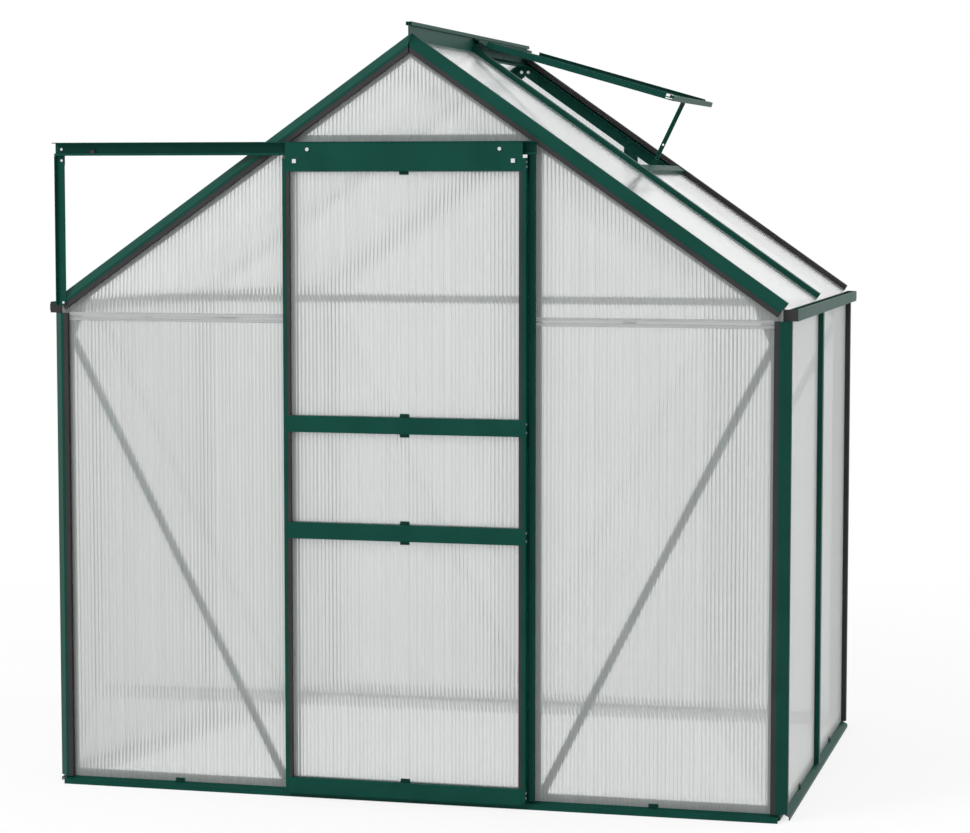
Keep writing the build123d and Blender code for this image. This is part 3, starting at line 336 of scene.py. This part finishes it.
def clear_part(tree, bends, normal=None):
    """The clear part of a sheet. One that bends sight is plainly clear to the shadow rays."""
    straight = put(tree, "ShaderNodeBsdfTransparent", {"Color": CLEAR_TINT}).outputs["BSDF"]
    if not bends:
        return straight
    bent = put(tree, "ShaderNodeBsdfRefraction",
               {"Color": CLEAR_TINT, "IOR": SHEET_IOR, "Roughness": 0.0})
    if normal is not None:
        tree.links.new(normal, bent.inputs["Normal"])
    shadow_ray = put(tree, "ShaderNodeLightPath").outputs["Is Shadow Ray"]
    return mixed(tree, shadow_ray, bent.outputs["BSDF"], straight)


def flute_lens(tree, turns, depth):
    """A normal that makes a lens of each flute, from a bowl-shaped bump across it."""
    from_middle = calc(tree, "SUBTRACT", calc(tree, "FRACT", turns), 0.5)
    bowl = calc(tree, "MULTIPLY", from_middle, from_middle)
    bend = put(tree, "ShaderNodeBump", {"Height": bowl, "Strength": 1.0, "Distance": depth})
    return bend.outputs["Normal"]


def rib_line(tree, across, turns):
    """About 1 on a rib and 0 midway between two, and a little different from rib to rib."""
    wave = calc(tree, "COSINE", calc(tree, "MULTIPLY", turns, 2 * math.pi))
    rib = value_range(tree, wave, 0.0, 1.0, -1.0, 1.0)
    one_way = put(tree, "ShaderNodeCombineXYZ", {"X": across}).outputs["Vector"]
    uneven = value_range(tree, noise(tree, one_way, RIB_NOISE_SCALE, detail=2.0), *RIB_STRENGTH)
    return calc(tree, "MULTIPLY", rib, uneven)


def outer_shine(tree, shine):
    """The share that is mirrored, on the outer side alone and most at a flat angle."""
    flat_angle = put(tree, "ShaderNodeFresnel", {"IOR": SHINE_IOR}).outputs["Fac"]
    mirrored = calc(tree, "MULTIPLY", flat_angle, shine, use_clamp=True)
    inside = put(tree, "ShaderNodeNewGeometry").outputs["Backfacing"]
    return calc(tree, "MULTIPLY", mirrored, calc(tree, "SUBTRACT", 1.0, inside))


def twin_wall(name, light, dark, clear, lens, shine):
    """The outer skin of a sheet: milk with rib lines, a clear part, bent by a lens, and a gloss."""
    material, tree, output = new_material(name)
    flutes = put(tree, "ShaderNodeUVMap", uv_map="flutes").outputs["UV"]
    across = put(tree, "ShaderNodeSeparateXYZ", {"Vector": flutes}).outputs["X"]
    turns = calc(tree, "DIVIDE", across, FLUTE_PITCH)
    line = rib_line(tree, across, turns)
    milk = milk_shader(tree, ramp(tree, line, light, dark, *RIB_LINE))
    back_light = put(tree, "ShaderNodeBsdfTranslucent", {"Color": (*light, 1.0)}).outputs["BSDF"]
    veil = mixed(tree, BACK_LIGHT_SHARE, milk, back_light)
    bends = lens is not None
    seen_through = clear_part(tree, bends, flute_lens(tree, turns, lens) if bends else None)
    skin = mixed(tree, value_range(tree, line, clear, clear * RIB_CLEAR), veil, seen_through)
    gloss = put(tree, "ShaderNodeBsdfAnisotropic", {"Color": WHITE, "Roughness": SHINE_ROUGHNESS})
    glossed = mixed(tree, outer_shine(tree, shine), skin, gloss.outputs["BSDF"])
    tree.links.new(glossed, output.inputs["Surface"])
    return material


def clear_back(name, bends):
    """The inner skin and the rim of a sheet, almost clear."""
    material, tree, output = new_material(name)
    haze = noise(tree, object_place(tree), BACK_HAZE_SCALE, detail=4.0)
    milk = milk_shader(tree, ramp(tree, haze, MILK_DARK, MILK_LIGHT))
    skin = mixed(tree, value_range(tree, haze, *BACK_CLEAR), milk, clear_part(tree, bends))
    tree.links.new(skin, output.inputs["Surface"])
    return material


gable_back = clear_back("twin_wall_gable_back", True)
plain_back = clear_back("twin_wall_plain_back", False)
gable_milk = MILK_LIGHT, MILK_DARK, GABLE_CLEAR
sheet_skins = {
    "front": (twin_wall("twin_wall_front", *gable_milk, FRONT_LENS, WALL_SHINE), gable_back),
    "rear": (twin_wall("twin_wall_rear", *gable_milk, REAR_LENS, WALL_SHINE), gable_back),
    # The side walls get the darker milk, painted shade
    "wall": (twin_wall("twin_wall_side_painted_shade", WALL_MILK_PAINTED_SHADE, WALL_RIB_PAINTED_SHADE, WALL_CLEAR, None, WALL_SHINE),
             plain_back),
    "roof": (twin_wall("twin_wall_roof", MILK_LIGHT, MILK_DARK, ROOF_CLEAR, None, ROOF_SHINE),
             plain_back),
}


# Twin-wall sheets with real flutes, in the place of the plain CAD panels

Span = namedtuple("Span", "u0 u1 low0 high0 low1 high1")


def solid_middle(solid):
    """The middle of a solid's corner points."""
    points = [point for triangle in solid for point in triangle]
    return sum(points, Vector()) / len(points)


def solids_of(node):
    """The node's separate solids in a fixed order, each as a list of triangles of points."""
    work = bmesh.new()
    work.from_mesh(nodes[node].data)
    bmesh.ops.remove_doubles(work, verts=work.verts, dist=SAME_POINT)
    bmesh.ops.triangulate(work, faces=work.faces)
    left_over = set(work.faces)
    solids = []
    while left_over:
        group = [left_over.pop()]
        for face in group:
            near = {other for vert in face.verts for other in vert.link_faces} & left_over
            left_over -= near
            group.extend(near)
        solids.append([[vert.co.copy() for vert in face.verts] for face in group])
    work.free()
    solids.sort(key=lambda solid: tuple(round(value, SORT_DIGITS) for value in solid_middle(solid)))
    return solids


def triangle_normal(triangle):
    """A triangle's normal, twice as long as its area."""
    return (triangle[1] - triangle[0]).cross(triangle[2] - triangle[0])


def sheet_axes(solid):
    """The sheet's outward normal, and its directions across and along the flutes."""
    normals = (triangle_normal(triangle) for triangle in solid)
    normal = max(normals, key=lambda item: item.length).normalized()
    if normal.dot(solid_middle(solid) - INSIDE) < 0:
        normal.negate()
    up = Vector((0, 0, 1))
    along = (up - normal * up.dot(normal)).normalized()
    return normal, along.cross(normal), along


def outline_of(solid, normal, across, along):
    """The edges round the sheet's outer face, as pairs of (across, along) points."""
    edges = {}
    for triangle in solid:
        if triangle_normal(triangle).normalized().dot(normal) < OUTER_FACING:
            continue
        flat = [(round(point.dot(across), POINT_DIGITS), round(point.dot(along), POINT_DIGITS))
                for point in triangle]
        for start, end in zip(flat, flat[1:] + flat[:1]):
            key = (min(start, end), max(start, end))
            edges[key] = edges.get(key, 0) + 1
    return [edge for edge, count in edges.items() if count == 1]


def heights_at(edges, u):
    """The lowest and highest edge of an outline at one place across it."""
    found = []
    for (u0, v0), (u1, v1) in edges:
        if u1 - u0 > LEAST_RUN and u0 - ON_EDGE <= u <= u1 + ON_EDGE:
            found.append(v0 + (v1 - v0) * (u - u0) / (u1 - u0))
    return min(found), max(found)


def stations_of(edges):
    """Places across the sheet: the flutes' sample points and the outline's corners."""
    corners = sorted({point[0] for edge in edges for point in edge})
    first, last = corners[0], corners[-1]
    step = FLUTE_PITCH / FLUTE_STEPS
    places = set(corners)
    for index in range(int((last - first) / step) + 1):
        place = first + index * step
        if min(abs(place - corner) for corner in corners) > step / 4:
            places.add(place)
    return sorted(places)


def spans_of(edges, places):
    """The strips between neighbouring places, with their heights just inside each end."""
    spans = []
    for u0, u1 in zip(places, places[1:]):
        low0, high0 = heights_at(edges, u0 + BESIDE)
        low1, high1 = heights_at(edges, u1 - BESIDE)
        spans.append(Span(u0, u1, low0, high0, low1, high1))
    return spans


def add_sheet(work, uv_layer, solid):
    """Adds one closed, fluted sheet to a mesh."""
    normal, across, along = sheet_axes(solid)
    edges = outline_of(solid, normal, across, along)
    depths = [point.dot(normal) for triangle in solid for point in triangle]
    face_depth, back_depth = max(depths), min(depths)
    places = stations_of(edges)
    grid = {}

    def vert(u, v, side):
        """The mesh point at (u, v), on the outer side for 1 and on the back for 0."""
        key = (round(u, POINT_DIGITS), round(v, POINT_DIGITS), side)
        if key not in grid:
            turn = 2 * math.pi * (u - places[0]) / FLUTE_PITCH
            sink = FLUTE_DEPTH * (1 - math.cos(turn)) / 2
            depth = face_depth - sink if side else back_depth + sink
            grid[key] = work.verts.new(across * u + along * v + normal * depth)
        return grid[key]

    def face(corners, skin):
        """A face through (u, v, side) corners, in the outer skin for 0 and the back for 1."""
        made = work.faces.new([vert(*corner) for corner in corners])
        made.material_index = skin
        made.smooth = True
        for loop, corner in zip(made.loops, corners):
            loop[uv_layer].uv = (corner[0] - places[0], corner[1])

    spans = spans_of(edges, places)
    for index, span in enumerate(spans):
        u0, u1, low0, high0, low1, high1 = span
        before = spans[index - 1] if index else None
        after = spans[index + 1] if index + 1 < len(spans) else None
        step_before = before is not None and before.high1 < high0 - LEAST_STEP
        step_after = after is not None and after.high0 < high1 - LEAST_STEP

        # The two skins, with a corner where the neighbour's top is lower
        ring = [(u0, low0), (u1, low1)]
        if step_after:
            ring.append((u1, after.high0))
        ring += [(u1, high1), (u0, high0)]
        if step_before:
            ring.append((u0, before.high1))
        face([(u, v, 1) for u, v in ring], 0)
        face([(u, v, 0) for u, v in reversed(ring)], 1)

        # The rim below, above, and at the sheet's ends and steps
        face([(u0, low0, 0), (u1, low1, 0), (u1, low1, 1), (u0, low0, 1)], 1)
        face([(u0, high0, 1), (u1, high1, 1), (u1, high1, 0), (u0, high0, 0)], 1)
        if before is None or step_before:
            start = low0 if before is None else before.high1
            face([(u0, start, 1), (u0, high0, 1), (u0, high0, 0), (u0, start, 0)], 1)
        if after is None or step_after:
            start = low1 if after is None else after.high0
            face([(u1, start, 0), (u1, high1, 0), (u1, high1, 1), (u1, start, 1)], 1)


for panel_node, (body, kind) in PANEL_NODES.items():
    work = bmesh.new()
    uv_layer = work.loops.layers.uv.new("flutes")
    for solid in solids_of(panel_node):
        add_sheet(work, uv_layer, solid)
    bmesh.ops.recalc_face_normals(work, faces=work.faces)
    mesh = bpy.data.meshes.new("fluted_" + panel_node)
    work.to_mesh(mesh)
    work.free()
    for skin in sheet_skins[kind]:
        mesh.materials.append(skin)
    mesh.set_sharp_from_angle(angle=SHARP_ANGLE)
    piece = bpy.data.objects.new("fluted_" + panel_node, mesh)
    scene.collection.objects.link(piece)
    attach(piece, body)
    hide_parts(panel_node)


# Floor, light and camera

def seen_share(tree):
    """1 for rays that the eye follows, straight or by metal and glass, and 0 for others."""
    path = put(tree, "ShaderNodeLightPath")
    seen = calc(tree, "MAXIMUM", path.outputs["Is Camera Ray"], path.outputs["Is Glossy Ray"])
    return calc(tree, "MAXIMUM", seen, path.outputs["Is Transmission Ray"])


def floor_material():
    """A pale floor that reads as white to the eye and keeps the shadow near the object."""
    material, tree, output = new_material("pale_floor")
    place = object_place(tree)
    patches = noise(tree, place, FLOOR_NOISE_SCALE)
    matt = put(tree, "ShaderNodeBsdfDiffuse", {"Color": ramp(tree, patches, *FLOOR_COLOURS)})
    glow = put(tree, "ShaderNodeEmission", {"Color": WHITE, "Strength": 1.0})
    away = put(tree, "ShaderNodeVectorMath", {0: place}, operation="LENGTH").outputs["Value"]
    outdoors = value_range(tree, away, NEAR_WHITE, 1.0, NEAR_REACH, FAR_REACH)
    spread = put(tree, "ShaderNodeVectorMath", {0: place, 1: FOOTPRINT_HALF}, operation="DIVIDE")
    spread = put(tree, "ShaderNodeVectorMath", {0: spread.outputs["Vector"]}, operation="ABSOLUTE")
    parts = put(tree, "ShaderNodeSeparateXYZ", {"Vector": spread.outputs["Vector"]})
    edge = calc(tree, "MAXIMUM", parts.outputs["X"], parts.outputs["Y"])
    indoors = value_range(tree, edge, INDOOR_WHITE, 1.0, INDOOR_EDGE, 1.0)
    white = calc(tree, "MULTIPLY", outdoors, indoors)
    share = calc(tree, "MULTIPLY", seen_share(tree), white)
    both = mixed(tree, share, matt.outputs["BSDF"], glow.outputs["Emission"])
    tree.links.new(both, output.inputs["Surface"])
    return material


def studio_world():
    """A white surround that gives the soft part of the light."""
    world = bpy.data.worlds.new("studio")
    world.use_nodes = True
    tree = world.node_tree
    tree.nodes.clear()
    output = tree.nodes.new("ShaderNodeOutputWorld")
    soft = put(tree, "ShaderNodeBackground", {"Color": WHITE, "Strength": SOFT_LIGHT})
    white = put(tree, "ShaderNodeBackground", {"Color": WHITE, "Strength": 1.0})
    both = mixed(tree, seen_share(tree), soft.outputs["Background"], white.outputs["Background"])
    tree.links.new(both, output.inputs["Surface"])
    return world


def soft_lamp(name, place, target, watts):
    """A square studio lamp aimed at a point."""
    data = bpy.data.lights.new(name, "AREA")
    data.shape = "SQUARE"
    data.size = LAMP_SIZE
    data.energy = watts
    lamp = bpy.data.objects.new(name, data)
    lamp.location = place
    lamp.rotation_euler = (Vector(target) - Vector(place)).to_track_quat("-Z", "Y").to_euler()
    scene.collection.objects.link(lamp)


floor_corners = [(-FLOOR_HALF, -FLOOR_HALF, FLOOR_Z), (FLOOR_HALF, -FLOOR_HALF, FLOOR_Z),
                 (FLOOR_HALF, FLOOR_HALF, FLOOR_Z), (-FLOOR_HALF, FLOOR_HALF, FLOOR_Z)]
floor_mesh = bpy.data.meshes.new("studio_floor")
floor_mesh.from_pydata(floor_corners, [], [(0, 1, 2, 3)])
floor_mesh.materials.append(floor_material())
floor = bpy.data.objects.new("studio_floor", floor_mesh)
scene.collection.objects.link(floor)

scene.world = studio_world()
soft_lamp("key_lamp", KEY_PLACE, KEY_TARGET, KEY_WATTS)
soft_lamp("side_lamp", SIDE_PLACE, SIDE_TARGET, SIDE_WATTS)

camera_data = bpy.data.cameras.new("camera")
camera_data.sensor_width = CAMERA_SENSOR
camera_data.lens = CAMERA_LENS
camera = bpy.data.objects.new("camera", camera_data)
camera.location = CAMERA_PLACE
camera.rotation_euler = (math.radians(90 - CAMERA_DOWN), 0, math.radians(CAMERA_TURN))
scene.collection.objects.link(camera)
scene.camera = camera
